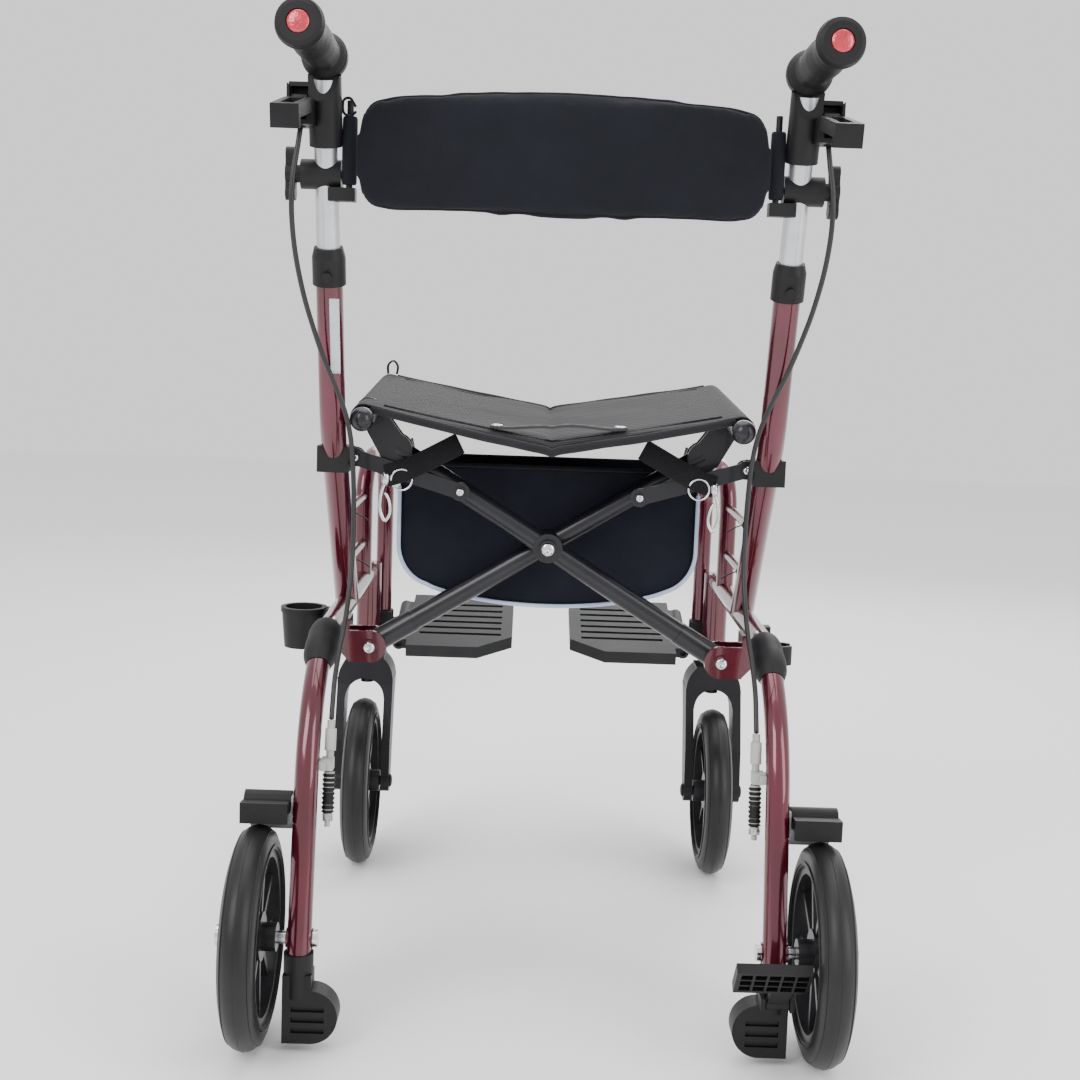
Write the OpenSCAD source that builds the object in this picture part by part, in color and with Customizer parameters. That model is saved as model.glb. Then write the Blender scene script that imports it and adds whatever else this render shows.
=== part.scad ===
// Folding rollator that doubles as a transit chair: two tubular side frames joined by
// a folding cross frame, four wheels, height-adjustable handles with loop brakes, a
// sling seat, a padded backrest, a bag under the seat and swing-away footrests.
// +Z is up and +Y is the direction of travel. The handles are at the rear.

/* [Wheels] */
// Outer diameter of all four tyres
wheel_d = 200; // [196:1:200]
// Width of a tyre
tyre_w = 31; // [28:1:32]
// Distance between the middles of the rear wheels
rear_track = 516; // [514:1:518]
// How far the caster wheel trails its stem
caster_trail = 45; // [40:1:47]

/* [Side frame] */
// Distance between the middles of the two side frames
frame_w = 430; // [430:1:432]
// Outer diameter of the uprights
upright_d = 25.4; // [25:0.1:25.6]
// Outer diameter of the leg and lower rail
leg_d = 22; // [21:0.5:22]
// Wall of the frame tubes
tube_wall = 1.6; // [1.2:0.1:1.8]

/* [Handles] */
// Length of a hand grip
grip_len = 116; // [110:1:118]
// Radius of a hand grip at its waist
grip_r = 15.5; // [15:0.5:16.5]

/* [Seat and soft parts] */
// Depth of the seat from back to front
seat_depth = 284; // [270:1:284]
// Thickness of the seat sheet
seat_t = 4; // [3:0.5:4]
// Thickness of the backrest
pad_t = 14; // [12:1:16]
// Half of the bag's width
bag_half_w = 158; // [150:1:160]

/* [Hidden] */
$fn = 64;

// Drawn with the rear axle at y = 0, then moved so that the box is centred on Z.
shift_y = -283;
running = 0.06;

red = [0.36, 0.05, 0.12];
black = [0.06, 0.06, 0.07];
silver = [0.75, 0.76, 0.78];
fabric = [0.11, 0.12, 0.17];

wheel_r = wheel_d / 2;
rear_x = rear_track / 2;
frame_x = frame_w / 2;
upright_r = upright_d / 2;
leg_r = leg_d / 2;
handle_r = 11;
stem_y = 550;

// Side profile of the tubes, as [y, z] corner points with a bend radius at each.
upright_path = [[118.7, 715], [170, 550], [315, 357]];
upright_bends = [0, 150, 0];
lean = atan2(170 - 118.7, 715 - 550);
leg_path = [[-8, 88], [46.5, 355], [stem_y - 4, 355]];
leg_bends = [0, 151, 0];

function dir2(a, b) = (b - a) / norm(b - a);
function heading(v) = atan2(v[1], v[0]);
function wrap(t) = t > 180 ? t - 360 : (t < -180 ? t + 360 : t);
function turn(a, b, c) = wrap(heading(c - b) - heading(b - a));
function setback(p, r, i) = i == 0 || i == len(p) - 1 ? 0 : r[i] * tan(abs(turn(p[i - 1], p[i], p[i + 1])) / 2);

// A straight rod between two points of the drawing plane.
module rod2(a, b, r, hole) {
  v = b - a;
  translate([a[0], a[1], 0])
    rotate([0, 0, heading(v)])
      rotate([0, 90, 0])
        difference() {
          cylinder(r = r, h = norm(v));
          if (hole > 0) translate([0, 0, -1]) cylinder(r = hole, h = norm(v) + 2);
        }
}

// The round bend at corner i of a path.
module bend2(p, bends, i, r, hole) {
  t = turn(p[i - 1], p[i], p[i + 1]);
  d = dir2(p[i - 1], p[i]);
  start = p[i] - d * setback(p, bends, i);
  centre = start + bends[i] * sign(t) * [-d[1], d[0]];
  translate([centre[0], centre[1], 0])
    rotate([0, 0, heading(start - centre) - (t < 0 ? abs(t) : 0)])
      rotate_extrude(angle = abs(t), $fn = 96)
        translate([bends[i], 0])
          difference() {
            circle(r = r);
            if (hole > 0) circle(r = hole);
          }
}

// A tube along corner points with round bends. The first straight may have a wider bore.
module bent_tube(p, bends, r, hole, first_hole) {
  for (i = [0 : len(p) - 2]) {
    d = dir2(p[i], p[i + 1]);
    rod2(p[i] + d * setback(p, bends, i), p[i + 1] - d * setback(p, bends, i + 1), r, i == 0 ? first_hole : hole);
  }
  for (i = [1 : len(p) - 2]) bend2(p, bends, i, r, hole);
}

// A tube with one bend, built outward from where the bend starts so that its pieces meet exactly.
module one_bend(p, bend_r, r, hole, first_hole) {
  t = turn(p[0], p[1], p[2]);
  back = bend_r * tan(abs(t) / 2);
  joint = p[1] - dir2(p[0], p[1]) * back;
  translate([joint[0], joint[1], 0])
    rotate([0, 0, heading(p[1] - p[0])])
      mirror([0, t < 0 ? 1 : 0, 0]) {
        rotate([0, -90, 0]) pipe(norm(joint - p[0]), r, first_hole);
        translate([0, bend_r, 0])
          rotate([0, 0, -90])
            rotate_extrude(angle = abs(t), $fn = 96)
              translate([bend_r, 0])
                difference() {
                  circle(r = r);
                  if (hole > 0) circle(r = hole);
                }
        translate([0, bend_r, 0])
          rotate([0, 0, abs(t)])
            translate([0, -bend_r, 0])
              rotate([0, 90, 0]) pipe(norm(p[2] - p[1]) - back, r, hole);
      }
}

module pipe(length, r, hole) {
  difference() {
    cylinder(r = r, h = length);
    if (hole > 0) translate([0, 0, -1]) cylinder(r = hole, h = length + 2);
  }
}

// Puts a drawing made in [y, z] into the side plane at x.
module side_plane(x) {
  translate([x, 0, 0]) rotate([90, 0, 90]) children();
}

// Puts a drawing made in [x, z] at y, its thickness running to the rear.
module cross_plane(y) {
  translate([0, y, 0]) rotate([90, 0, 0]) children();
}

// A rod along X, starting at x.
module x_rod(x, y, z, r, h) {
  translate([x, y, z]) rotate([0, 90, 0]) cylinder(r = r, h = h);
}

// A rod along Y, starting at y.
module y_rod(x, y, z, r, h) {
  translate([x, y, z]) rotate([-90, 0, 0]) cylinder(r = r, h = h);
}

// A box between two corners.
module block(a, b) {
  translate(a) cube(b - a);
}

// Everything on one side is drawn on the left, at negative x, and mirrored for the right.
module sided(right) {
  translate([0, shift_y, 0]) mirror([right ? 1 : 0, 0, 0]) children();
}

function lean_y(z) = 170 - (z - 550) * tan(lean);

// Puts a drawing made along +Z onto the leaning handle axis, starting at height z.
module on_axis(z) {
  translate([-frame_x, lean_y(z), z]) rotate([lean, 0, 0]) children();
}

module upright_solid() {
  side_plane(-frame_x) bent_tube(upright_path, upright_bends, upright_r, 0, 0);
}

module leg_solid() {
  side_plane(-frame_x) bent_tube(leg_path, leg_bends, leg_r, 0, 0);
}

module main_tube() {
  color(red)
    difference() {
      side_plane(-frame_x) one_bend(upright_path, upright_bends[1], upright_r, 9.5, handle_r + running);
      side_plane(-frame_x) rod2([200, 355], [400, 355], leg_r, 0);
    }
}

head_r = 15;
head_low = 258;
head_high = 364;
stem_r = 8;

module leg_tube() {
  color(red)
    difference() {
      union() {
        leg_solid();
        translate([-frame_x, stem_y, head_low]) cylinder(r = head_r, h = head_high - head_low);
        x_rod(-frame_x - 12.5, 0, wheel_r, 9, 24.5);
      }
      x_rod(-frame_x - 20, 0, wheel_r, 6, 40);
      translate([-frame_x, stem_y, head_low - 1]) cylinder(r = stem_r + running, h = 57);
    }
}

mid_tube_y = 471;
front_tube = [-200, 583];
loop_top = 500;
loop_r = 10;
loop_bore = 8.4;
loop_turn = atan2(15, 112);
loop_len = norm([15, 112]);
loop_foot = 300;
rung_zs = [400, 455];
rung_r = 5;

function upright_y(z) = 170 + (550 - z) * 145 / 193;

// Arched loop over the caster with the two rungs that tie it to the upright.
module front_loop() {
  color(red)
    difference() {
      union() {
        translate([-frame_x, mid_tube_y, 0])
          rotate([0, 0, -loop_turn])
            side_plane(0)
              bent_tube(
                [[0, 352], [0, loop_top], [loop_len, loop_top], [loop_len, loop_foot]],
                [0, 50, 50, 0], loop_r, loop_bore, loop_bore
              );
        for (z = rung_zs) y_rod(-frame_x, upright_y(z), z, rung_r, mid_tube_y - loop_bore - upright_y(z));
      }
      upright_solid();
      side_plane(-frame_x) rod2([380, 355], [520, 355], leg_r, 0);
    }
}

pivot_x = 182;
pivot_z = 321;
centre_z = 433;
plane_a = 257;
plane_b = 233;
pivot_bolt_r = 4;

// Clevis under the lower rail with the bolt that the cross tube turns on.
module cross_bracket(y) {
  color(red)
    difference() {
      union() {
        block([-225, y - 16.5, 328], [-203, y + 16.5, 350]);
        for (s = [-16.5, 12.5])
          cross_plane(y + s + 4)
            linear_extrude(4)
              union() {
                translate([-pivot_x, pivot_z]) circle(r = 17);
                translate([-204, 304.5]) square([22, 33]);
                polygon([[-225, 328], [-225, 350], [-203, 350], [-203, 304.5]]);
              }
        y_rod(-pivot_x, y - 18, pivot_z, pivot_bolt_r, 36);
        y_rod(-pivot_x, y - 20.5, pivot_z, 7.5, 4.5);
      }
      side_plane(-frame_x) rod2([180, 355], [340, 355], leg_r, 0);
    }
}

link_x = 198;
link_z = 520.6;
link_y0 = 215;
link_t = 4;

// Black saddle on the upright with the lug that carries the link bar.
module link_bracket() {
  color(black)
    difference() {
      union() {
        block([-231, 175, 508], [-200.5, 210, 534]);
        block([-223, 205, 511], [-210, 227, 531]);
        block([-212, 221.5, 511], [-198, 227, 531]);
        y_rod(-link_x, 221.5, link_z, 10, 5.5);
      }
      upright_solid();
      y_rod(-link_x, 214, link_z, 3 + running, 20);
    }
}

module height_collar() {
  color(black)
    difference() {
      union() {
        on_axis(690) cylinder(r = upright_r + 3, h = 26);
        on_axis(714.8) cylinder(r1 = upright_r + 3, r2 = handle_r + 2.5, h = 9);
        on_axis(700) translate([0, -14, 0]) rotate([90, 0, 0]) cylinder(r = 5, h = 6);
      }
      on_axis(680) cylinder(r = upright_r, h = 35 / cos(lean));
      on_axis(690) cylinder(r = handle_r + 0.5, h = 60);
    }
}

pedal_y = -31;
pedal_z = 66;

// Step-on lever plugged onto the foot of the rear leg. The right one also holds the pedal.
module tip_lever(with_pedal) {
  color(black) {
    difference() {
      union() {
        translate([-frame_x, -8, 50]) cylinder(r = 13.5, h = 40);
        cross_plane(4)
          linear_extrude(24)
            union() {
              translate([-228, 22]) square([26, 50]);
              translate([-203, 33]) circle(r = 25);
              translate([-228, 8]) square([25, 20]);
            }
      }
      leg_solid();
      for (z = [18, 28, 38]) block([-220, -21, z], [-190, -17, z + 5]);
    }
    if (with_pedal) {
      for (x = [-230, -204]) block([x, pedal_y - 6, pedal_z - 7], [x + 4, -18, pedal_z + 5]);
      x_rod(-229, pedal_y, pedal_z, 3, 28);
    }
  }
}

module rear_axle() {
  color(silver) {
    x_rod(-282, 0, wheel_r, 6, 80);
    x_rod(-291, 0, wheel_r, 10, 10);
    x_rod(-203, 0, wheel_r, 8, 4);
  }
}

arm_pin_y = 33;
arm_pin_z = 217;
puller_x = -196;
leg_tilt = atan2(54.5, 267);

// Puts a drawing made along +Z beside the leg, starting at height z.
module beside_leg(z) {
  translate([puller_x, 19 + (z - 196) * tan(leg_tilt) + 8, z]) rotate([-leg_tilt, 0, 0]) children();
}

// Cable adjuster, bellows, nut and the pin of the brake arm, clamped to the leg.
module brake_unit() {
  color([0.55, 0.56, 0.53])
    difference() {
      union() {
        beside_leg(264) cylinder(r = 5.2, h = 20);
        beside_leg(246) cylinder(r = 3.6, h = 46);
        for (i = [0 : 7]) beside_leg(211 + i * 4.5) cylinder(r = 5, h = 2.6);
        beside_leg(196) cylinder(r = 2.6, h = 56);
        beside_leg(203) cylinder(r = 4.6, h = 5);
        block([-203, 28, 248], [-192, 42, 258]);
        block([-209, 26, 249], [-198, 40, 257]);
        block([-228, 20, 209], [-212, 41, 225]);
        x_rod(-270, arm_pin_y, arm_pin_z, 4, 54);
      }
      leg_solid();
    }
}

// The brake cable: down the outside of the handle, through the frame, to the adjuster.
cable_r = 2.4;
cable_sides = 8;
cable_route = [
  [-236, 72, 825], [-238, 68, 806], [-241, 64, 780], [-242, 66, 750], [-240, 78, 715],
  [-235, 96, 680], [-228, 112, 650], [-219, 126, 620], [-208, 136, 592], [-199, 142, 566],
  [-194, 146, 540], [-192, 150, 510], [-191, 152, 470], [-191, 148, 430], [-192, 132, 395],
  [-193, 108, 368], [-195, 84, 345], [-196, 66, 325], [-196, 54, 306], [-196, 46.7, 292]
];

function unit(v) = v / norm(v);
function route_tangent(p, i) = unit(p[min(i + 1, len(p) - 1)] - p[max(i - 1, 0)]);
function cable_ring(i) =
  let (t = route_tangent(cable_route, i), u = unit(cross(t, [1, 0.2, 0.1])), w = cross(t, u))
    [for (k = [0 : cable_sides - 1])
      let (a = 360 * k / cable_sides) cable_route[i] + cable_r * (cos(a) * u + sin(a) * w)];
function wall_faces(i) = [
  for (k = [0 : cable_sides - 1])
    let (a = i * cable_sides + k, b = i * cable_sides + (k + 1) % cable_sides)
      each [[a, b, b + cable_sides], [a, b + cable_sides, a + cable_sides]]
];

module brake_cable() {
  n = len(cable_route);
  color(black)
    polyhedron(
      points = [for (i = [0 : n - 1]) each cable_ring(i)],
      faces = concat(
        [[for (k = [cable_sides - 1 : -1 : 0]) k]],
        [for (i = [0 : n - 2]) each wall_faces(i)],
        [[for (k = [0 : cable_sides - 1]) (n - 1) * cable_sides + k]]
      )
    );
}

handle_low = 628;
handle_high = 868;

module handle_tube() {
  color(silver)
    on_axis(handle_low)
      difference() {
        cylinder(r = handle_r, h = (handle_high - handle_low) / cos(lean));
        translate([0, 0, -1]) cylinder(r = 9.4, h = (handle_high - handle_low) / cos(lean) + 2);
      }
}

clamp_z = 787;
clamp_y = lean_y(clamp_z);
grip_z = 887;
grip_y = 66;
grip_tilt = 3.5;
hinge_x = -193.5;
hinge_y = 88;
lever_y = 66;
lever_z = 846;

// Moulded stem with the backrest clamp, its hinge pin and the brake housing.
module handle_shell() {
  color(black)
    difference() {
      union() {
        on_axis(812) cylinder(r = handle_r + 4, h = 62);
        on_axis(868) cylinder(r1 = handle_r + 4, r2 = 20, h = 12);
        translate([-frame_x, 70, grip_z]) sphere(r = 21, $fn = 48);
        x_rod(-238, clamp_y, clamp_z, 13.5, 37);
        x_rod(-201.5, clamp_y, clamp_z, 5, 1);
        block([-212, 82, 763], [hinge_x + 6, 97, 775]);
        translate([hinge_x, hinge_y, 764]) cylinder(r = 3, h = 88);
        block([-246, 54, 826], [-222, 86, 864]);
        translate([-236, 72, 825]) cylinder(r = 4.5, h = 12);
      }
      on_axis(760) cylinder(r = handle_r, h = (handle_high - 760) / cos(lean));
      block([-243.5, 48, 830], [-228.5, 78, 860]);
      x_rod(-260, lever_y, lever_z, 3, 36);
      translate([-236, 72, 824]) cylinder(r = 2.6, h = 20);
      x_rod(-239, clamp_y, clamp_z, 3 + running, 12);
      translate([-frame_x, grip_y, grip_z]) rotate([90 - grip_tilt, 0, -3]) cylinder(r = 40, h = 60);
    }
}

module grip() {
  color(black)
    translate([-frame_x, grip_y, grip_z])
      rotate([90 - grip_tilt, 0, -3])
        rotate_extrude()
          polygon([
            [0, 0], [19, 0], [20.5, 2.5], [19, 6], [grip_r + 0.5, 11], [grip_r, 22],
            [grip_r + 1.5, 40], [grip_r + 2, 58], [grip_r + 1, 78], [grip_r + 2, 94], [20.5, 104],
            [21, grip_len - 8], [19.5, grip_len - 2], [16, grip_len], [10, grip_len],
            [10, grip_len - 3], [0, grip_len - 3]
          ]);
}

// Loop lever under the grip, turning on a pin in the brake housing.
module brake_lever() {
  color(black) {
    x_rod(-243, lever_y, lever_z, 7.5, 14);
    x_rod(-245.5, lever_y, lever_z, 3 - running, 21);
    translate([0, lever_y, lever_z])
      rotate([12, 0, 0]) {
        block([-243, -22, -5], [-229, 0, 5]);
        difference() {
          block([-246, -96, -6], [-222, -20, 6]);
          block([-240, -88, -7], [-228, -28, 7]);
        }
        block([-246, -100, -14], [-222, -90, 6]);
      }
  }
}

module wing_knob() {
  color(black) {
    x_rod(-246, clamp_y, clamp_z, 3, 17);
    x_rod(-250, clamp_y, clamp_z, 8, 11);
    translate([-252, clamp_y, clamp_z])
      rotate([90, 0, 90])
        linear_extrude(9)
          union() {
            circle(r = 9.5);
            for (s = [-1, 1]) translate([0, s * 17]) circle(r = 7);
            translate([-6, -17]) square([12, 34]);
          }
  }
}

pad_bow = 40;
pad_half = 184;
pad_arc = (pad_half * pad_half + pad_bow * pad_bow) / (2 * pad_bow);

// One half of the padded backrest, hinged on the pin beside the clamp.
module backrest_half() {
  color(fabric)
    difference() {
      union() {
        intersection() {
          translate([0, hinge_y - 4 - pad_bow + pad_arc, 740])
            difference() {
              cylinder(r = pad_arc + pad_t / 2, h = 140, $fn = 180);
              translate([0, 0, -1]) cylinder(r = pad_arc - pad_t / 2, h = 142, $fn = 180);
            }
          cross_plane(120)
            linear_extrude(140)
              polygon([
                [-5, 751], [-90, 755], [-170, 761], [-186, 777], [-186, 838], [-170, 853], [-90, 860], [-5, 864]
              ]);
        }
        translate([hinge_x, hinge_y, 777]) cylinder(r = 6.5, h = 62);
      }
      translate([hinge_x, hinge_y, 750]) cylinder(r = 3 + running, h = 130);
    }
}

rim_r = wheel_r - 22;
crown_r = tyre_w / 2;

// Solid tyre with a round tread, turned about its own axis.
module tyre() {
  color([0.05, 0.05, 0.05])
    rotate([0, 90, 0])
      rotate_extrude($fn = 128)
        difference() {
          union() {
            translate([wheel_r - crown_r, 0]) circle(r = crown_r);
            translate([rim_r, -crown_r]) square([wheel_r - crown_r - rim_r, tyre_w]);
            for (s = [-1, 1]) translate([rim_r + 2, s * crown_r - 1.2]) square([2.5, 2.4]);
          }
          translate([rim_r - 60, -50]) square([60, 100]);
        }
}

// Plastic rim with thin spokes and a hub of the given half length.
module rim(hub_half) {
  color(black)
    rotate([0, 90, 0])
      difference() {
        union() {
          difference() {
            translate([0, 0, -13]) cylinder(r = rim_r, h = 26, $fn = 128);
            translate([0, 0, -14]) cylinder(r = rim_r - 7, h = 28, $fn = 128);
          }
          translate([0, 0, -hub_half]) cylinder(r = 13, h = 2 * hub_half);
          translate([0, 0, -9]) cylinder(r = 22, h = 18);
          for (a = [0 : 40 : 359]) rotate([0, 0, a]) translate([20, -3, -7]) cube([rim_r - 25, 6, 14]);
        }
        translate([0, 0, -hub_half - 1]) cylinder(r = 6 + running, h = 2 * hub_half + 2);
      }
}

fork_half = 34;
fork_in = 24;
crown_z = 250;

// Swivelling fork with its stem and the wheel's axle.
module caster_fork() {
  color(black)
    translate([-frame_x, stem_y, 0]) {
      translate([0, 0, crown_z - 2]) cylinder(r = stem_r, h = 60);
      translate([0, 0, crown_z - 2]) cylinder(r = 13, h = 9.5);
      difference() {
        intersection() {
          translate([-fork_half, 0, 0])
            rotate([90, 0, 90])
              linear_extrude(2 * fork_half)
                union() {
                  polygon([[-22, crown_z], [20, crown_z], [22, 222], [2, 190], [-32, 92], [-57, 92], [-50, 150], [-27, 215]]);
                  translate([-caster_trail, wheel_r]) circle(r = 13);
                }
          translate([0, 60, 0])
            rotate([90, 0, 0])
              linear_extrude(140)
                union() {
                  translate([-fork_half, 80]) square([2 * fork_half, 143]);
                  translate([0, 222]) circle(r = fork_half - 0.5);
                  translate([-22, 222]) square([44, 28]);
                }
        }
        translate([-fork_in, -80, 60]) cube([2 * fork_in, 130, 140]);
        translate([0, 50, 199]) rotate([90, 0, 0]) cylinder(r = fork_in - 0.5, h = 130);
      }
      x_rod(-30, -caster_trail, wheel_r, 6, 60);
      translate([0, 0, 214]) cylinder(r = 8, h = 12, $fn = 48);
    }
}

// Brake arm with its cover over the rear tyre.
module brake_arm() {
  color(black)
    difference() {
      union() {
        intersection() {
          x_rod(-272, 0, wheel_r, 123, 43);
          side_plane(-273)
            linear_extrude(46)
              polygon([[4, 180], [72, 180], [72, 196], [48, 230], [4, 230]]);
        }
        x_rod(-272, arm_pin_y, arm_pin_z, 10, 43);
        block([-270, 40, 186], [-231, 76, 194]);
      }
      x_rod(-280, 0, wheel_r, wheel_r + 4, 60);
      x_rod(-280, arm_pin_y, arm_pin_z, 4 + running, 60);
    }
}

plate_hinge = [-175, 583, 281];
plate_tilt = 13;
plate_back = -78;
plate_front = 82;
plate_in = 139;

// The tilted frame of the left footplate, with its origin on the hinge.
module plate_frame() {
  translate(plate_hinge) rotate([plate_tilt, 0, 0]) children();
}

// Hanger that plugs into the front tube and swings the footplate aside.
module footrest_hanger() {
  color([0.1, 0.1, 0.11])
    difference() {
      union() {
        translate([front_tube[0], front_tube[1], 262]) cylinder(r = 13, h = loop_foot - 262.5);
        translate([front_tube[0], front_tube[1], 290]) cylinder(r = loop_bore - running, h = 55);
        translate([front_tube[0], front_tube[1], 264]) sphere(r = 12.8, $fn = 48);
        block([-205, 566, 268], [-188, 571, 299]);
        plate_frame() {
          block([-20, -9, -6], [0, 9, 6]);
          rotate([-90, 0, 0]) translate([0, 0, -9]) cylinder(r = 7.5, h = 18);
          rotate([-90, 0, 0]) translate([0, 0, -56]) cylinder(r = 4, h = 112);
        }
      }
      translate([front_tube[0], front_tube[1], 240]) cylinder(r = 4, h = 20);
    }
}

module footplate() {
  color([0.17, 0.17, 0.18])
    plate_frame()
      difference() {
        union() {
          translate([0, 0, -8])
            linear_extrude(15)
              polygon([
                [10, plate_back], [plate_in - 42, plate_back], [plate_in, plate_back + 34],
                [plate_in, plate_front - 8], [plate_in - 8, plate_front], [10, plate_front]
              ]);
          for (y = [-60, 10]) {
            translate([0, y, 0]) rotate([-90, 0, 0]) cylinder(r = 7.5, h = 50);
            block([0, y, -6], [14, y + 50, 6]);
          }
        }
        rotate([-90, 0, 0]) translate([0, 0, -90]) cylinder(r = 4 + running, h = 180);
        block([-1, -9.5, -20], [13, 9.5, 20]);
        for (i = [0 : 5]) block([24, -42 + i * 18, 4.5], [plate_in - 14, -36 + i * 18, 8]);
      }
}

link_end = [-91, 489];
link_len = norm([link_end[0] + link_x, link_end[1] - link_z]);
link_angle = atan2(link_end[1] - link_z, link_end[0] + link_x);

// Flat bar from the upright's bracket toward the cross tube, with its bolts.
module link_bar(spacer) {
  color([0.09, 0.09, 0.1]) {
    cross_plane(link_y0 + link_t)
      linear_extrude(link_t)
        translate([-link_x, link_z])
          rotate([0, 0, link_angle])
            union() {
              circle(r = 9.5);
              translate([link_len, 0]) circle(r = 9.5);
              translate([0, -8]) square([link_len, 16]);
            }
    y_rod(-link_x, link_y0 - 2.5, link_z, 5, 4);
    y_rod(-link_x, link_y0, link_z, 3, 11);
    y_rod(link_end[0], link_y0 - 2.5, link_end[1], 5, 4);
    y_rod(link_end[0], link_y0 + 1, link_end[1], 4.5, spacer);
  }
}

cross_r = 11;
cross_angle = atan2(centre_z - pivot_z, pivot_x);
arm_top = [158, 530];
rail_x = 186;
rail_back = [163, 562];
rail_tilt = 4.5;
rail_len = 308;
rail_r = 11;

// A cross arm rising to the right: tube, plastic socket on its pivot and centre boss.
module cross_arm(y) {
  cross_plane(y) rod2([-pivot_x + 12, pivot_z + 12 * tan(cross_angle)], arm_top, cross_r, 9.4);
  cross_plane(y) rod2([-pivot_x + 8, pivot_z + 8 * tan(cross_angle)], [-pivot_x + 44, pivot_z + 44 * tan(cross_angle)], 11.9, 0);
  y_rod(-pivot_x, y - 12, pivot_z, 12.5, 24);
  y_rod(0, y - 11.8, centre_z, 15, 23.6);
}

module cross_tube(y, hole) {
  color([0.07, 0.07, 0.09])
    difference() {
      cross_arm(y);
      y_rod(-pivot_x, y - 30, pivot_z, pivot_bolt_r + running, 60);
      if (hole) y_rod(0, y - 30, centre_z, 5 + running, 60);
    }
}

// Arm a is the front one. It rises to the right and owns the bolt that joins the two.
module cross_tube_a() {
  cross_tube(plane_a, false);
  color(silver) {
    y_rod(0, plane_b - 13, centre_z, 5, plane_a - plane_b + 10);
    y_rod(0, plane_b - 17.5, centre_z, 9, 5);
  }
}

module cross_tube_b() {
  mirror([1, 0, 0]) cross_tube(plane_b, true);
}

// Seat rail above the end of an arm, with the two plates that join them.
module seat_rail(y) {
  color([0.07, 0.07, 0.09])
    difference() {
      union() {
        translate([rail_x, rail_back[0], rail_back[1]])
          rotate([-90 + rail_tilt, 0, 0]) {
            cylinder(r = rail_r, h = rail_len);
            sphere(r = 12, $fn = 48);
            translate([0, 0, rail_len]) sphere(r = 11.9, $fn = 48);
          }
        for (s = [-6.5, 10.5])
          cross_plane(y + s)
            linear_extrude(4)
              union() {
                polygon([[150, 515], [141, 530], [174, 574], [198, 566], [172, 520]]);
                translate([157, 529]) circle(r = 16);
                translate([rail_x, 568.5]) circle(r = 12.5);
              }
      }
      cross_plane(y) rod2([100, 433 + 100 * 112 / 182], [arm_top[0], arm_top[1]], cross_r, 0);
    }
}

seat_reach = 164;
seat_sag = 9.4;

// Half of the sling seat with the sleeve that wraps the right rail.
module seat_half() {
  color([0.27, 0.27, 0.29])
    translate([rail_x, rail_back[0], rail_back[1]])
      rotate([rail_tilt, 0, 0])
        rotate([0, -seat_sag, 0])
          difference() {
            union() {
              translate([0, 14, 0]) rotate([-90, 0, 0]) cylinder(r = 13.4, h = seat_depth);
              block([-seat_reach, 14, -seat_t / 2], [0, 14 + seat_depth, seat_t / 2]);
            }
            translate([0, 0, 0]) rotate([-90, 0, 0]) cylinder(r = rail_r + running, h = 400);
            block([-34, 52, -30], [20, 112, 30]);
          }
}

bag_back = 273;
bag_front = 400;
bag_wall = 3;

module bag_outline(inset) {
  w = bag_half_w - inset;
  polygon([
    [-w, 514], [-w, 404 + inset], [-w + 20, 386 + inset], [-70, 372 + inset], [0, 364 + inset],
    [70, 372 + inset], [w - 20, 386 + inset], [w, 404 + inset], [w, 514]
  ]);
}

// Open-topped fabric bag.
module storage_bag() {
  color(fabric)
    difference() {
      cross_plane(bag_front) linear_extrude(bag_front - bag_back) bag_outline(0);
      translate([0, 0, 4])
        cross_plane(bag_front - bag_wall)
          linear_extrude(bag_front - bag_back - 2 * bag_wall)
            bag_outline(bag_wall);
    }
}

cup_x = -252;
cup_y = 250;

// Cup that holds the tip of a walking stick.
module cane_cup() {
  color(black)
    difference() {
      union() {
        translate([cup_x, cup_y, 318]) cylinder(r1 = 20, r2 = 23, h = 38);
        translate([cup_x, cup_y, 355]) cylinder(r = 24, h = 5);
        block([-240, 240, 351], [-221, 260, 359]);
      }
      translate([cup_x, cup_y, 324]) cylinder(r = 19, h = 50);
      side_plane(-frame_x) rod2([200, 355], [320, 355], leg_r, 0);
    }
}

clip_x = -244;
clip_y = 230;

// Clip that holds the shaft of a walking stick. Drawn on the left like the other parts.
module cane_clip() {
  color(black)
    difference() {
      union() {
        translate([clip_x, clip_y, 320]) cylinder(r = 13.5, h = 20);
        block([-232.5, 223, 322], [-227, 237, 359]);
        block([-232.5, 223, 351], [-221, 237, 359]);
      }
      translate([clip_x, clip_y, 310]) cylinder(r = 10, h = 60);
      block([-262, clip_y - 6.5, 310], [clip_x, clip_y + 6.5, 345]);
      side_plane(-frame_x) rod2([200, 355], [320, 355], leg_r, 0);
    }
}

// Ribbed pedal that turns on the pin of the right tip lever.
module foot_pedal() {
  color([0.08, 0.08, 0.09])
    translate([-frame_x, pedal_y, pedal_z])
      difference() {
        union() {
          x_rod(-10, 0, 0, 6, 20);
          rotate([-50, 0, 0]) {
            block([-9, -30, -3.5], [9, 0, 3.5]);
            difference() {
              block([-23, -62, -5], [43, -27, 5]);
              for (x = [-20 : 12.2 : 30]) for (y = [-59, -49, -39]) block([x, y, -6], [x + 10, y + 8, 2]);
            }
          }
        }
        x_rod(-20, 0, 0, 3 + running, 40);
      }
}

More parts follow.
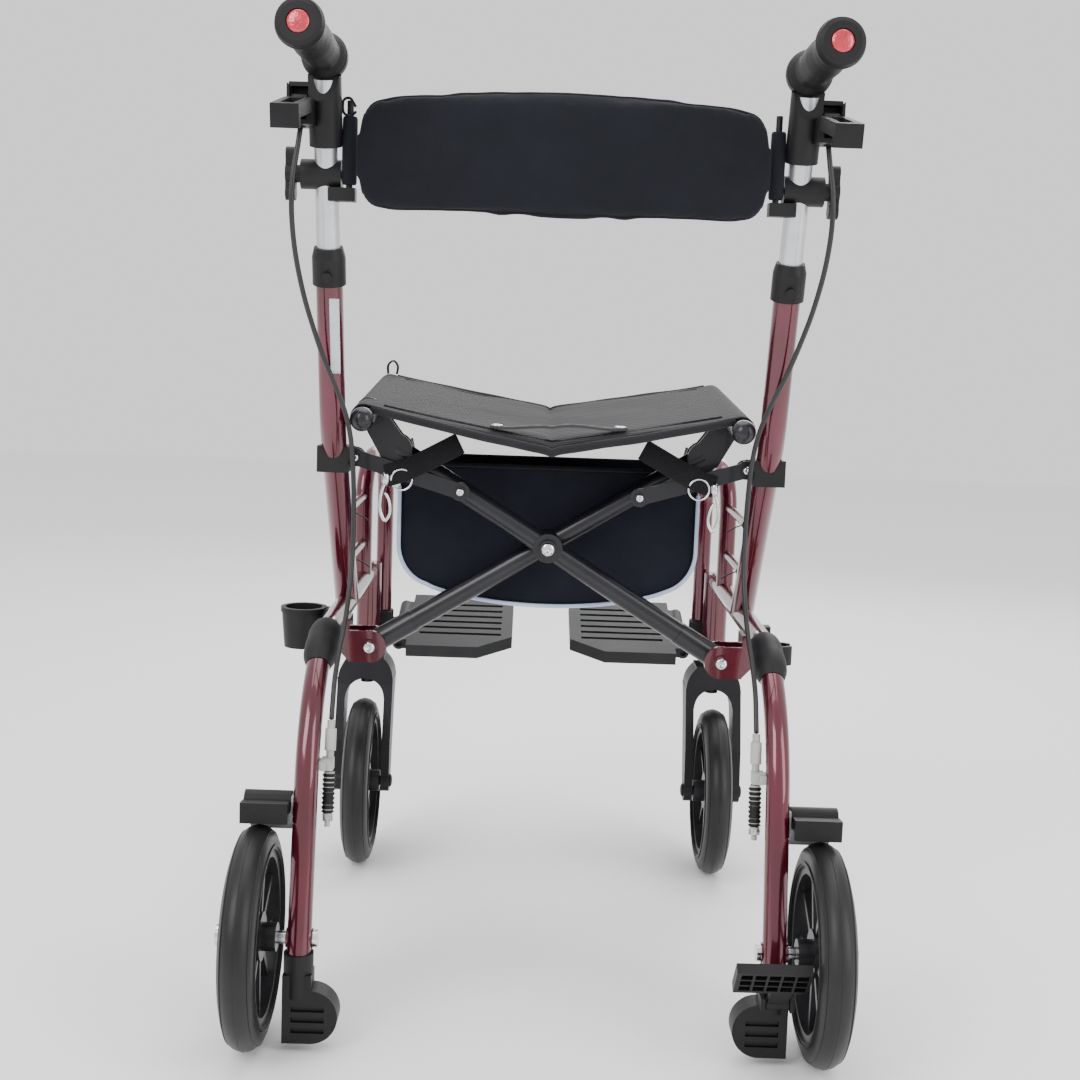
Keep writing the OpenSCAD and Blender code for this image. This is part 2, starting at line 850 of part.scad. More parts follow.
sided(false) main_tube();  // main_tube_left
sided(true) main_tube();  // main_tube_right
sided(false) leg_tube();  // leg_tube_left
sided(true) leg_tube();  // leg_tube_right
sided(false) front_loop();  // front_loop_left
sided(true) front_loop();  // front_loop_right
sided(false) cross_bracket(plane_a);  // cross_bracket_left
sided(true) cross_bracket(plane_b);  // cross_bracket_right
sided(false) link_bracket();  // link_bracket_left
sided(true) link_bracket();  // link_bracket_right
sided(false) height_collar();  // height_collar_left
sided(true) height_collar();  // height_collar_right
sided(false) tip_lever(false);  // tip_lever_left
sided(true) tip_lever(true);  // tip_lever_right
sided(false) rear_axle();  // rear_axle_left
sided(true) rear_axle();  // rear_axle_right
sided(false) brake_unit();  // brake_unit_left
sided(true) brake_unit();  // brake_unit_right
sided(false) brake_cable();  // brake_cable_left
sided(true) brake_cable();  // brake_cable_right
sided(false) handle_tube();  // handle_tube_left
sided(true) handle_tube();  // handle_tube_right
sided(false) handle_shell();  // handle_shell_left
sided(true) handle_shell();  // handle_shell_right
sided(false) grip();  // grip_left
sided(true) grip();  // grip_right
sided(false) brake_lever();  // brake_lever_left
sided(true) brake_lever();  // brake_lever_right
sided(false) wing_knob();  // wing_knob_left
sided(true) wing_knob();  // wing_knob_right
sided(false) backrest_half();  // backrest_half_left
sided(true) backrest_half();  // backrest_half_right
sided(false) translate([-rear_x, 0, wheel_r]) tyre();  // rear_tyre_left
sided(true) translate([-rear_x, 0, wheel_r]) tyre();  // rear_tyre_right
sided(false) translate([-rear_x, 0, wheel_r]) rim(22);  // rear_rim_left
sided(true) translate([-rear_x, 0, wheel_r]) rim(22);  // rear_rim_right
sided(false) caster_fork();  // caster_fork_left
sided(true) caster_fork();  // caster_fork_right
sided(false) translate([-frame_x, stem_y - caster_trail, wheel_r]) tyre();  // caster_tyre_left
sided(true) translate([-frame_x, stem_y - caster_trail, wheel_r]) tyre();  // caster_tyre_right
sided(false) translate([-frame_x, stem_y - caster_trail, wheel_r]) rim(22);  // caster_rim_left
sided(true) translate([-frame_x, stem_y - caster_trail, wheel_r]) rim(22);  // caster_rim_right
sided(false) brake_arm();  // brake_arm_left
sided(true) brake_arm();  // brake_arm_right
sided(false) footrest_hanger();  // footrest_hanger_left
sided(true) footrest_hanger();  // footrest_hanger_right
sided(false) footplate();  // footplate_left
sided(true) footplate();  // footplate_right
sided(false) link_bar(4);  // link_bar_left
sided(true) link_bar(28);  // link_bar_right
sided(false) cross_tube_a();
sided(false) cross_tube_b();
sided(true) seat_rail(plane_b);  // seat_rail_left
sided(false) seat_rail(plane_a);  // seat_rail_right
sided(true) seat_half();  // seat_half_left
sided(false) seat_half();  // seat_half_right
sided(false) storage_bag();
sided(false) cane_cup();
sided(true) cane_clip();
sided(true) foot_pedal();
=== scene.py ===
import math

import bmesh
import bpy
from mathutils import Matrix, Vector, noise


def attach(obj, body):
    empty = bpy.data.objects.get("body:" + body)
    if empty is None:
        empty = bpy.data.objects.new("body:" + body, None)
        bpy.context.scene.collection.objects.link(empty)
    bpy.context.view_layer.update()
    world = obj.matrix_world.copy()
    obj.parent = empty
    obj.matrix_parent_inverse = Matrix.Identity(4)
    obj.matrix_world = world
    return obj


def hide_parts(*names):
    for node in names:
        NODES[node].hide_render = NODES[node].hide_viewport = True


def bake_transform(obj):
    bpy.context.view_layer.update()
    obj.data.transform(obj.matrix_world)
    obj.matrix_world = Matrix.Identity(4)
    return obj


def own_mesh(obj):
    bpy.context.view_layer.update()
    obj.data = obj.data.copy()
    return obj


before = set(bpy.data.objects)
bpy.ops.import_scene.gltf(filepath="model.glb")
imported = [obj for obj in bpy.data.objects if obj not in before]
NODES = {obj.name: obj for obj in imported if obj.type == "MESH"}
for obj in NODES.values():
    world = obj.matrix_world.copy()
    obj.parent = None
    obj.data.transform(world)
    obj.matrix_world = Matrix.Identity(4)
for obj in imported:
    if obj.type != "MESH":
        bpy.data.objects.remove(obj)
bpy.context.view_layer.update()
SHIFT = -0.283
LEAN = math.atan2(51.3, 165.0)


def pt(x, y, z):
    """A point given in millimetres with the rear axle at y = 0, in the row frame."""
    return Vector((x / 1000.0, y / 1000.0 + SHIFT, z / 1000.0))


# ---------------------------------------------------------------- materials


def nodes_of(name):
    m = bpy.data.materials.new(name)
    m.use_nodes = True
    t = m.node_tree
    return m, t, t.nodes["Principled BSDF"]


def ramp_colour(t, bsdf, source, low, high, lo=0.35, hi=0.65):
    r = t.nodes.new("ShaderNodeValToRGB")
    r.color_ramp.elements[0].position = lo
    r.color_ramp.elements[0].color = (*low, 1)
    r.color_ramp.elements[1].position = hi
    r.color_ramp.elements[1].color = (*high, 1)
    t.links.new(source, r.inputs["Fac"])
    t.links.new(r.outputs["Color"], bsdf.inputs["Base Color"])
    return r


def rough_range(t, bsdf, source, lo, hi):
    m = t.nodes.new("ShaderNodeMapRange")
    m.inputs["To Min"].default_value = lo
    m.inputs["To Max"].default_value = hi
    t.links.new(source, m.inputs["Value"])
    t.links.new(m.outputs["Result"], bsdf.inputs["Roughness"])


def bump(t, bsdf, source, strength, distance):
    b = t.nodes.new("ShaderNodeBump")
    b.inputs["Strength"].default_value = strength
    b.inputs["Distance"].default_value = distance
    t.links.new(source, b.inputs["Height"])
    t.links.new(b.outputs["Normal"], bsdf.inputs["Normal"])
    return b


def noise_tex(t, scale, detail=4.0, rough=0.55):
    c = t.nodes.new("ShaderNodeTexCoord")
    n = t.nodes.new("ShaderNodeTexNoise")
    n.inputs["Scale"].default_value = scale
    n.inputs["Detail"].default_value = detail
    n.inputs["Roughness"].default_value = rough
    t.links.new(c.outputs["Object"], n.inputs["Vector"])
    return n


def surface(name, low, high, rough, metallic=0.0, grain=900.0, bump_by=(0.12, 0.0002), patch=28.0,
    coat=0.0, spec=0.5):
    """A finish with soft patches of colour and roughness over a fine grain."""
    m, t, b = nodes_of(name)
    b.inputs["Metallic"].default_value = metallic
    b.inputs["Specular IOR Level"].default_value = spec
    b.inputs["Coat Weight"].default_value = coat
    b.inputs["Coat Roughness"].default_value = 0.06
    wide = noise_tex(t, patch, 5.0)
    ramp_colour(t, b, wide.outputs["Fac"], low, high)
    rough_range(t, b, wide.outputs["Fac"], rough[0], rough[1])
    fine = noise_tex(t, grain, 3.0)
    bump(t, b, fine.outputs["Fac"], bump_by[0], bump_by[1])
    return m


def woven(name, low, high, pitch, depth=0.35, sheen=0.25, patch=22.0, rough=(0.8, 0.95)):
    """A plain weave: two crossed bands under soft patches."""
    m, t, b = nodes_of(name)
    b.inputs["Sheen Weight"].default_value = sheen
    b.inputs["Sheen Roughness"].default_value = 0.5
    b.inputs["Specular IOR Level"].default_value = 0.2
    c = t.nodes.new("ShaderNodeTexCoord")
    waves = []
    for axis in ("X", "Z"):
        w = t.nodes.new("ShaderNodeTexWave")
        w.wave_type = "BANDS"
        w.bands_direction = axis
        w.inputs["Scale"].default_value = 0.314 / pitch
        w.inputs["Distortion"].default_value = 0.6
        w.inputs["Detail"].default_value = 1.0
        t.links.new(c.outputs["Object"], w.inputs["Vector"])
        waves.append(w)
    mul = t.nodes.new("ShaderNodeMath")
    mul.operation = "ADD"
    t.links.new(waves[0].outputs["Fac"], mul.inputs[0])
    t.links.new(waves[1].outputs["Fac"], mul.inputs[1])
    wide = noise_tex(t, patch, 6.0, 0.6)
    ramp_colour(t, b, wide.outputs["Fac"], low, high, 0.3, 0.7)
    rough_range(t, b, wide.outputs["Fac"], rough[0], rough[1])
    bump(t, b, mul.outputs["Value"], depth, 0.0004)
    return m


RED = surface("red_paint", (0.075, 0.002, 0.011), (0.110, 0.003, 0.018), (0.20, 0.30), 0.55, 2600.0,
    (0.10, 0.0001), 16.0, 1.0)
SILVER = surface("silver_tube", (0.55, 0.56, 0.58), (0.66, 0.67, 0.69), (0.30, 0.42), 0.9, 1500.0,
    (0.06, 0.0001), 30.0)
CHROME = surface("chrome", (0.62, 0.62, 0.64), (0.74, 0.74, 0.76), (0.12, 0.24), 1.0, 1200.0,
    (0.04, 0.0001), 40.0)
BLACK_METAL = surface("black_metal", (0.005, 0.005, 0.008), (0.010, 0.010, 0.014), (0.26, 0.38), 0.1,
    1800.0, (0.10, 0.0001), 20.0, 0.2, 0.4)
PLASTIC = surface("black_plastic", (0.004, 0.004, 0.005), (0.008, 0.008, 0.009), (0.40, 0.55), 0.0,
    1400.0, (0.25, 0.0002), 24.0, 0.0, 0.3)
FORK = surface("fork_plastic", (0.004, 0.004, 0.006), (0.008, 0.008, 0.011), (0.36, 0.50), 0.0, 1400.0,
    (0.20, 0.0002), 24.0, 0.0, 0.35)
HANGER = surface("hanger_plastic", (0.010, 0.010, 0.012), (0.016, 0.017, 0.019), (0.45, 0.6), 0.0,
    1300.0, (0.25, 0.0002), 24.0, 0.0, 0.3)
RIM = surface("rim_plastic", (0.006, 0.006, 0.007), (0.012, 0.012, 0.014), (0.28, 0.42), 0.0, 1100.0,
    (0.12, 0.0002), 18.0)
GRIP = surface("grip_rubber", (0.004, 0.004, 0.005), (0.008, 0.008, 0.009), (0.48, 0.64), 0.0, 1700.0,
    (0.4, 0.0003), 26.0, 0.0, 0.3)
GREY = surface("grey_fittings", (0.33, 0.35, 0.32), (0.44, 0.46, 0.42), (0.4, 0.55), 0.0, 1200.0,
    (0.15, 0.0002), 40.0)
CABLE = surface("cable_sheath", (0.006, 0.006, 0.007), (0.012, 0.012, 0.013), (0.35, 0.5), 0.0, 1500.0,
    (0.1, 0.0001), 40.0)
TYRE = surface("tyre", (0.006, 0.006, 0.0065), (0.012, 0.012, 0.0125), (0.34, 0.50), 0.0, 700.0,
    (0.35, 0.0003), 12.0, 0.0, 0.35)
PLATE = surface("footplate_plastic", (0.012, 0.0125, 0.014), (0.020, 0.0205, 0.022), (0.45, 0.62), 0.0,
    1200.0, (0.4, 0.0003), 20.0, 0.0, 0.3)
NAVY = woven("navy_fabric", (0.004, 0.005, 0.008), (0.008, 0.009, 0.014), 0.0011, 0.30, 0.06)
BAG_CLOTH = woven("bag_fabric", (0.005, 0.006, 0.012), (0.010, 0.011, 0.020), 0.0012, 0.30, 0.08)
SEAT = woven("seat_fabric", (0.012, 0.012, 0.014), (0.020, 0.020, 0.023), 0.0016, 0.45, 0.10)
WEB = woven("webbing", (0.005, 0.005, 0.006), (0.010, 0.010, 0.012), 0.0018, 0.6, 0.08)
PIPING = woven("piping", (0.42, 0.50, 0.72), (0.55, 0.63, 0.84), 0.0014, 0.4, 0.2)
STRAP = woven("strap_grey", (0.035, 0.036, 0.038), (0.055, 0.056, 0.058), 0.0018, 0.5, 0.1)
REFLECT = surface("reflector", (0.42, 0.010, 0.030), (0.62, 0.020, 0.050), (0.05, 0.12), 0.25, 260.0,
    (0.9, 0.0012), 60.0, 1.0)
LABEL = surface("label", (0.52, 0.55, 0.60), (0.64, 0.67, 0.72), (0.35, 0.5), 0.0, 900.0,
    (0.05, 0.0001), 60.0)

FINISH = {
    "main_tube": RED, "leg_tube": RED, "front_loop": RED, "cross_bracket": RED,
    "link_bracket": PLASTIC, "height_collar": PLASTIC, "tip_lever": PLASTIC, "rear_axle": CHROME,
    "brake_unit": GREY, "brake_cable": CABLE, "handle_tube": SILVER, "handle_shell": PLASTIC,
    "grip": GRIP, "brake_lever": PLASTIC, "wing_knob": PLASTIC, "backrest_half": NAVY,
    "rear_tyre": TYRE, "rear_rim": RIM, "caster_fork": FORK, "caster_tyre": TYRE, "caster_rim": RIM,
    "brake_arm": PLASTIC, "footrest_hanger": HANGER, "footplate": PLATE, "link_bar": BLACK_METAL,
    "seat_rail": BLACK_METAL, "seat_half": SEAT,
}
SINGLE = {
    "cross_tube_a": BLACK_METAL, "cross_tube_b": BLACK_METAL, "storage_bag": BAG_CLOTH,
    "cane_cup": PLASTIC, "cane_clip": PLASTIC, "foot_pedal": PLASTIC,
}
for node, obj in NODES.items():
    base = node.rsplit("_", 1)[0]
    finish = SINGLE.get(node) or FINISH[base]
    obj.data.materials.clear()
    obj.data.materials.append(finish)
    if not obj.modifiers.get("rounding"):
        mod = obj.modifiers.new("rounding", "BEVEL")
        mod.width = 0.0006
        mod.segments = 2
        mod.limit_method = "ANGLE"
        mod.angle_limit = math.radians(40)
        mod.harden_normals = True

# ---------------------------------------------------------------- mesh makers


def make(name, verts, faces, material, smooth=True):
    me = bpy.data.meshes.new(name)
    me.from_pydata([tuple(v) for v in verts], [], faces)
    me.validate()
    bm = bmesh.new()
    bm.from_mesh(me)
    bmesh.ops.recalc_face_normals(bm, faces=bm.faces)
    bm.to_mesh(me)
    bm.free()
    for p in me.polygons:
        p.use_smooth = smooth
    me.materials.append(material)
    o = bpy.data.objects.new(name, me)
    bpy.context.scene.collection.objects.link(o)
    return o


def smooth_path(points, per=6):
    """A rounded path through the points (Catmull-Rom)."""
    p = [Vector(q) for q in points]
    p = [2 * p[0] - p[1]] + p + [2 * p[-1] - p[-2]]
    out = []
    for i in range(1, len(p) - 2):
        for k in range(per):
            s = k / per
            a, b, c, d = p[i - 1], p[i], p[i + 1], p[i + 2]
            out.append(0.5 * ((2 * b) + (c - a) * s + (2 * a - 5 * b + 4 * c - d) * s * s
                + (3 * b - a - 3 * c + d) * s ** 3))
    out.append(p[-2])
    return out


def frames_along(path, closed=False):
    n = len(path)
    tangents = []
    for i in range(n):
        a = path[(i - 1) % n] if closed else path[max(i - 1, 0)]
        b = path[(i + 1) % n] if closed else path[min(i + 1, n - 1)]
        tangents.append((b - a).normalized())
    t = tangents[0]
    u = t.orthogonal().normalized()
    frames = []
    for i in range(n):
        t = tangents[i]
        u = (u - t * u.dot(t)).normalized()
        frames.append((t, u, t.cross(u)))
    return frames


def tube(name, path, radius, material, sides=12, closed=False):
    """A round tube along a path, with rounded end caps."""
    frames = frames_along(path, closed)
    verts, faces = [], []
    n = len(path)
    for p, (t, u, w) in zip(path, frames):
        for k in range(sides):
            a = 2 * math.pi * k / sides
            verts.append(p + (u * math.cos(a) + w * math.sin(a)) * radius)
    for i in range(n if closed else n - 1):
        for k in range(sides):
            a, b = i * sides + k, i * sides + (k + 1) % sides
            c, d = ((i + 1) % n) * sides + (k + 1) % sides, ((i + 1) % n) * sides + k
            faces.append((a, b, c, d))
    if not closed:
        for end, sgn in ((0, -1), (n - 1, 1)):
            tip = len(verts)
            verts.append(path[end] + frames[end][0] * radius * 0.4 * sgn)
            for k in range(sides):
                faces.append((end * sides + k, end * sides + (k + 1) % sides, tip))
    return make(name, verts, faces, material)


def ribbon(name, path, side, width, thick, material):
    """A flat strap along a path. side is the width direction."""
    frames = frames_along(path)
    verts, faces = [], []
    side = Vector(side).normalized()
    ring = [(-1, -0.6), (-0.94, -1), (0.94, -1), (1, -0.6), (1, 0.6), (0.94, 1), (-0.94, 1), (-1, 0.6)]
    for p, (t, u, w) in zip(path, frames):
        s = (side - t * side.dot(t)).normalized()
        nrm = t.cross(s)
        for a, b in ring:
            verts.append(p + s * (a * width / 2) + nrm * (b * thick / 2))
    m = len(ring)
    for i in range(len(path) - 1):
        for k in range(m):
            faces.append((i * m + k, i * m + (k + 1) % m, (i + 1) * m + (k + 1) % m, (i + 1) * m + k))
    faces.append(tuple(range(m - 1, -1, -1)))
    faces.append(tuple(range((len(path) - 1) * m, len(path) * m)))
    return make(name, verts, faces, material)


def lathe(name, centre, axis, profile, material, steps=40):
    """A turned piece. profile is [(distance along axis, radius)] in metres."""
    axis = Vector(axis).normalized()
    u = axis.orthogonal().normalized()
    w = axis.cross(u)
    centre = Vector(centre)
    verts, faces = [], []
    m = len(profile)
    for k in range(steps):
        a = 2 * math.pi * k / steps
        d = u * math.cos(a) + w * math.sin(a)
        for h, r in profile:
            verts.append(centre + axis * h + d * max(r, 0.00002))
    for k in range(steps):
        for i in range(m - 1):
            a, b = k * m + i, k * m + i + 1
            c, d = ((k + 1) % steps) * m + i + 1, ((k + 1) % steps) * m + i
            faces.append((a, b, c, d))
    faces.append(tuple(k * m for k in range(steps))[::-1])
    faces.append(tuple(k * m + m - 1 for k in range(steps)))
    return make(name, verts, faces, material)


def bolt(name, centre, axis, radius, height, material):
    """A domed bolt head with a small socket."""
    r, h = radius, height
    profile = [(0, r), (h * 0.45, r), (h * 0.75, r * 0.86), (h * 0.95, r * 0.6), (h, r * 0.42),
        (h * 0.7, r * 0.36), (h * 0.5, 0.0)]
    return lathe(name, centre, axis, profile, material, 28)


def grid_faces(nu, nv, offset=0, wrap_u=False):
    out = []
    for i in range(nu if wrap_u else nu - 1):
        for j in range(nv - 1):
            a = offset + i * nv + j
            b = offset + ((i + 1) % nu) * nv + j
            out.append((a, b, b + 1, a + 1))
    return out


def bake(obj):
    """Applies every modifier of obj."""
    bpy.context.view_layer.update()
    dg = bpy.context.evaluated_depsgraph_get()
    me = bpy.data.meshes.new_from_object(obj.evaluated_get(dg), depsgraph=dg)
    obj.modifiers.clear()
    old = obj.data
    obj.data = me
    bpy.data.meshes.remove(old)
    for p in me.polygons:
        p.use_smooth = True


def wobble(v, scale, amount, seed=0.0):
    return noise.noise(Vector((v.x * scale + seed, v.y * scale, v.z * scale))) * amount


# ---------------------------------------------------------------- backrest pad

PAD_HALF = 0.1868
PAD_R = 0.4432
PAD_Y = 0.044 + SHIFT


def pad_half_height(x):
    s = min(abs(x) / PAD_HALF, 1.0)
    body = 0.0485 + 0.0085 * (1 - s * s)
    return body * (1 - s ** 20) ** 0.45


def pad_surface(x, z, off):
    """A point of the bowed pad at x, z, at depth off from its middle surface."""
    a = math.asin(max(-1, min(1, x / PAD_R)))
    r = PAD_R + off
    return Vector((math.sin(a) * r, PAD_Y + PAD_R - math.cos(a) * r, z))


def build_backrest():
    nu, nv = 96, 30
    verts, faces = [], []
    for side in (1, -1):
        for i in range(nu):
            u = -1 + 2 * i / (nu - 1)
            x = PAD_HALF * math.copysign(abs(u) ** 0.9, u) * 0.999
            h = pad_half_height(x)
            for j in range(nv):
                v = -1 + 2 * j / (nv - 1)
                v = math.sin(v * math.pi / 2)
                z = 0.8045 + h * v + 0.0015 * (1 - (x / PAD_HALF) ** 2)
                t = 0.0068 * (1 - abs(v) ** 6) ** 0.5 * (1 - abs(x / PAD_HALF) ** 14) ** 0.5
                verts.append(pad_surface(x, z, side * t))
    faces += grid_faces(nu, nv)
    faces += grid_faces(nu, nv, nu * nv)
    o = make("backrest_pad", verts, faces, NAVY)
    bm = bmesh.new()
    bm.from_mesh(o.data)
    bmesh.ops.remove_doubles(bm, verts=bm.verts, dist=0.0004)
    bmesh.ops.recalc_face_normals(bm, faces=bm.faces)
    bm.to_mesh(o.data)
    bm.free()
    rm = o.modifiers.new("even", "REMESH")
    rm.mode = "VOXEL"
    rm.voxel_size = 0.0050
    rm.use_smooth_shade = True
    bake(o)
    before = [v.co.copy() for v in o.data.vertices]
    cl = o.modifiers.new("cloth", "CLOTH")
    st = cl.settings
    st.quality = 6
    st.mass = 0.25
    st.tension_stiffness = 40
    st.compression_stiffness = 40
    st.shear_stiffness = 15
    st.bending_stiffness = 0.6
    st.use_pressure = True
    st.uniform_pressure_force = 4.0
    st.effector_weights.gravity = 0.0
    cl.collision_settings.use_collision = False
    cl.point_cache.frame_start = 1
    cl.point_cache.frame_end = 20
    scene = bpy.context.scene
    for f in range(1, 21):
        scene.frame_set(f)
    bake(o)
    scene.frame_set(1)
    for v, b in zip(o.data.vertices, before):
        d = v.co - b
        if d.length > 0.004:
            v.co = b + d.normalized() * 0.004
    sub = o.modifiers.new("fine", "SUBSURF")
    sub.levels = 1
    sub.render_levels = 1
    bake(o)
    for v in o.data.vertices:
        k = wobble(v.co, 26.0, 0.0007, 3.0) + wobble(v.co, 60.0, 0.0003, 9.0)
        v.co.y += k
    o.data.materials.clear()
    o.data.materials.append(NAVY)
    return o


pad = build_backrest()
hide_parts("backrest_half_left", "backrest_half_right")
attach(pad, "left_handle")
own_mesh(pad)

# The bound edge round the pad, and the sewn sleeve ends that the hinge pins run in.
def pad_rim(obj, n=60):
    """The outline of the finished pad: its lowest and highest points in slices along x."""
    lows, highs = {}, {}
    for v in obj.data.vertices:
        k = round(v.co.x / PAD_HALF * n)
        if k not in highs or v.co.z > highs[k].z:
            highs[k] = v.co.copy()
        if k not in lows or v.co.z < lows[k].z:
            lows[k] = v.co.copy()
    keys = sorted(highs)
    rim = [highs[k] for k in keys] + [lows[k] for k in reversed(keys)]
    m = len(rim)
    for _ in range(4):
        rim = [(rim[i - 1] + rim[i] * 2 + rim[(i + 1) % m]) / 4 for i in range(m)]
    even = [rim[0]]
    for q in rim[1:]:
        if (q - even[-1]).length > 0.003:
            even.append(q)
    if (even[-1] - even[0]).length < 0.003:
        even.pop()
    return even


even = pad_rim(pad)
binding = tube("backrest_binding", even, 0.0017, WEB, 8, closed=True)
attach(binding, "left_handle")
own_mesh(binding)
for side, sx in (("left", -1), ("right", 1)):
    sleeve = lathe(
        f"backrest_sleeve_{side}", pt(sx * 193.5, 88, 778), (0, 0, 1),
        [(0, 0.0032), (0, 0.0060), (0.002, 0.0068), (0.030, 0.0071), (0.058, 0.0068), (0.060, 0.0060),
            (0.060, 0.0032)],
        NAVY, 24,
    )
    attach(sleeve, f"{side}_handle")

# ---------------------------------------------------------------- sling seat

RAIL_BACK = pt(186, 163, 562)
RAIL_TILT = math.radians(4.5)
SLEEVE = 0.0133
Y0, Y1 = 0.012, 0.298


def rail_at(s, sx):
    """The rail's axis at distance s along it."""
    return Vector((sx * RAIL_BACK.x, RAIL_BACK.y + s * math.cos(RAIL_TILT),
        RAIL_BACK.z + s * math.sin(RAIL_TILT)))


def seat_profile():
    """(x, dz from the rail axis) across the seat, from under the left rail over to under the right one."""
    out = []
    x0 = RAIL_BACK.x
    for i in range(13):
        a = math.radians(215 - i * (215 - 82) / 12)
        out.append((-x0 + SLEEVE * math.cos(a), SLEEVE * math.sin(a)))
    n = 44
    xs, zs = out[-1]
    for i in range(1, n):
        x = xs + (-2 * xs) * i / n
        s = 1 - abs(x) / abs(xs)
        sag = 0.0335 * s ** 0.92
        out.append((x, zs - sag))
    for i in range(13):
        a = math.radians(98 - i * (98 + 35) / 12)
        out.append((x0 + SLEEVE * math.cos(a), SLEEVE * math.sin(a)))
    return out


def build_seat():
    prof = seat_profile()
    m = len(prof)
    rows = 46
    verts = []
    for layer in (0, 1):
        for j in range(rows):
            s = Y0 + (Y1 - Y0) * j / (rows - 1)
            for i, (x, dz) in enumerate(prof):
                p = rail_at(s, 1)
                free = max(0.0, 1 - (abs(x) / 0.172) ** 2)
                curve = 0.006 * free * (abs(2 * j / (rows - 1) - 1) ** 2)
                inset = 0.0
                if j < 6:
                    inset = 0.0045 * free * (1 - j / 6) ** 2
                q = Vector((x, p.y + (0.004 * free if j == 0 else 0.0), p.z + dz + curve * 0.3 - inset))
                q.z += free * (wobble(q, 17.0, 0.0016, 5.0) + wobble(q, 48.0, 0.0006, 2.0))
                crease = math.exp(-((x / 0.004) ** 2)) * 0.0016
                q.z -= crease
                a, b = prof[max(i - 1, 0)], prof[min(i + 1, m - 1)]
                n = Vector((-(b[1] - a[1]), 0, b[0] - a[0])).normalized()
                verts.append(q - n * (0.0015 * layer))
    faces = grid_faces(rows, m) + grid_faces(rows, m, rows * m)
    t = rows * m
    for j in range(rows - 1):
        for i in (0, m - 1):
            faces.append((j * m + i, (j + 1) * m + i, t + (j + 1) * m + i, t + j * m + i))
    for i in range(m - 1):
        for j in (0, rows - 1):
            faces.append((j * m + i, j * m + i + 1, t + j * m + i + 1, t + j * m + i))
    return make("seat_sling", verts, faces, SEAT)


def on_seat(obj):
    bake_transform(obj)


seat = build_seat()
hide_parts("seat_half_left", "seat_half_right")
on_seat(seat)


def seat_point(x, s, up=0.0):
    """A point on the seat's top at x and distance s along the rail."""
    flat = [q for q in seat_profile() if q[1] > -0.03 and abs(q[0]) < 0.186]
    a, b = next((a, b) for a, b in zip(flat, flat[1:]) if a[0] <= x <= b[0])
    k = (x - a[0]) / (b[0] - a[0])
    p = rail_at(s, 1)
    return Vector((x, p.y, p.z + a[1] + (b[1] - a[1]) * k + up))


for tag, s in (("rear", Y0), ("front", Y1)):
    path = []
    for i in range(61):
        x = -0.178 + 0.356 * i / 60
        v = seat_point(x, s, -0.0030)
        free = max(0.0, 1 - (abs(x) / 0.172) ** 2)
        v.y += (0.003 * free) * (1 if tag == "rear" else -1)
        v.z += -0.004 * free if tag == "rear" else 0.0015 * free
        v.z += wobble(v, 30.0, 0.0007, 1.0) - math.exp(-((x / 0.005) ** 2)) * 0.0016
        path.append(v)
    hem = tube(f"seat_hem_{tag}", path, 0.0042, SEAT, 10)
    on_seat(hem)
for tag, s in (("rear", 0.030), ("rear_2", 0.036), ("front", 0.282)):
    path = [seat_point(-0.168 + 0.336 * i / 80, s, 0.0004) for i in range(81)]
    seam = tube(f"seat_stitch_{tag}", path, 0.0005, WEB, 6)
    on_seat(seam)

# Pull strap across the rear of the seat, with holes and eyelets.
strap_path = []
for i in range(41):
    x = -0.062 + 0.136 * i / 40
    base = seat_point(x, 0.030, 0.0)
    lift = 0.0035 + 0.0115 * math.cos((x - 0.006) / 0.068 * math.pi / 2) ** 2
    strap_path.append(Vector((x, base.y, base.z + lift)))


def build_strap():
    verts, faces = [], []
    width, thick = 0.020, 0.0026
    nv = 9
    for layer in (0, 1):
        for p in strap_path:
            for k in range(nv):
                verts.append(p + Vector((0, -width / 2 + width * k / (nv - 1), (0.5 - layer) * thick)))
    n = len(strap_path)
    hole = set()
    for c in range(7):
        i = 7 + c * 4
        for a in (i, i + 1):
            for b in (3, 4):
                hole.add((a, b))
    t = n * nv
    for i in range(n - 1):
        for k in range(nv - 1):
            if (i, k) in hole:
                continue
            a = i * nv + k
            faces.append((a, a + nv, a + nv + 1, a + 1))
            faces.append((t + a, t + a + 1, t + a + nv + 1, t + a + nv))
            for di, dk, e1, e2 in ((-1, 0, a, a + 1), (1, 0, a + nv, a + nv + 1), (0, -1, a, a + nv),
                (0, 1, a + 1, a + nv + 1)):
                ii, kk = i + di, k + dk
                if ii < 0 or ii >= n - 1 or kk < 0 or kk >= nv - 1 or (ii, kk) in hole:
                    faces.append((e1, e2, t + e2, t + e1))
    return make("pull_strap", verts, faces, STRAP, smooth=False)


strap = build_strap()
on_seat(strap)
for k, i in (("left", 2), ("right", 38)):
    c = strap_path[i]
    eyelet = lathe(
        f"strap_eyelet_{k}", c + Vector((0, 0, 0.0012)), (0, 0, 1),
        [(0.0, 0.0028), (0.0012, 0.0030), (0.0018, 0.0040), (0.0012, 0.0056), (0.0, 0.0062),
            (-0.0006, 0.0040)], CHROME, 24,
    )
    on_seat(eyelet)

# Buckle loop at the far left corner.
b0 = rail_at(0.288, -1) + Vector((0.002, 0, 0.0145))
buckle = ribbon(
    "corner_loop",
    smooth_path([b0 + Vector((-0.004, 0, 0)), b0 + Vector((-0.004, 0, 0.010)),
        b0 + Vector((0.002, 0, 0.015)),
                 b0 + Vector((0.007, 0, 0.009)), b0 + Vector((0.006, 0, 0))], 5),
    (0, 1, 0), 0.012, 0.0018, WEB,
)
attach(buckle, "cross_b")

# ---------------------------------------------------------------- bag

BAG_X, BAG_Y0, BAG_Y1 = 0.1565, 0.2745 + SHIFT, 0.3985 + SHIFT
BAG_TOP = 0.5125


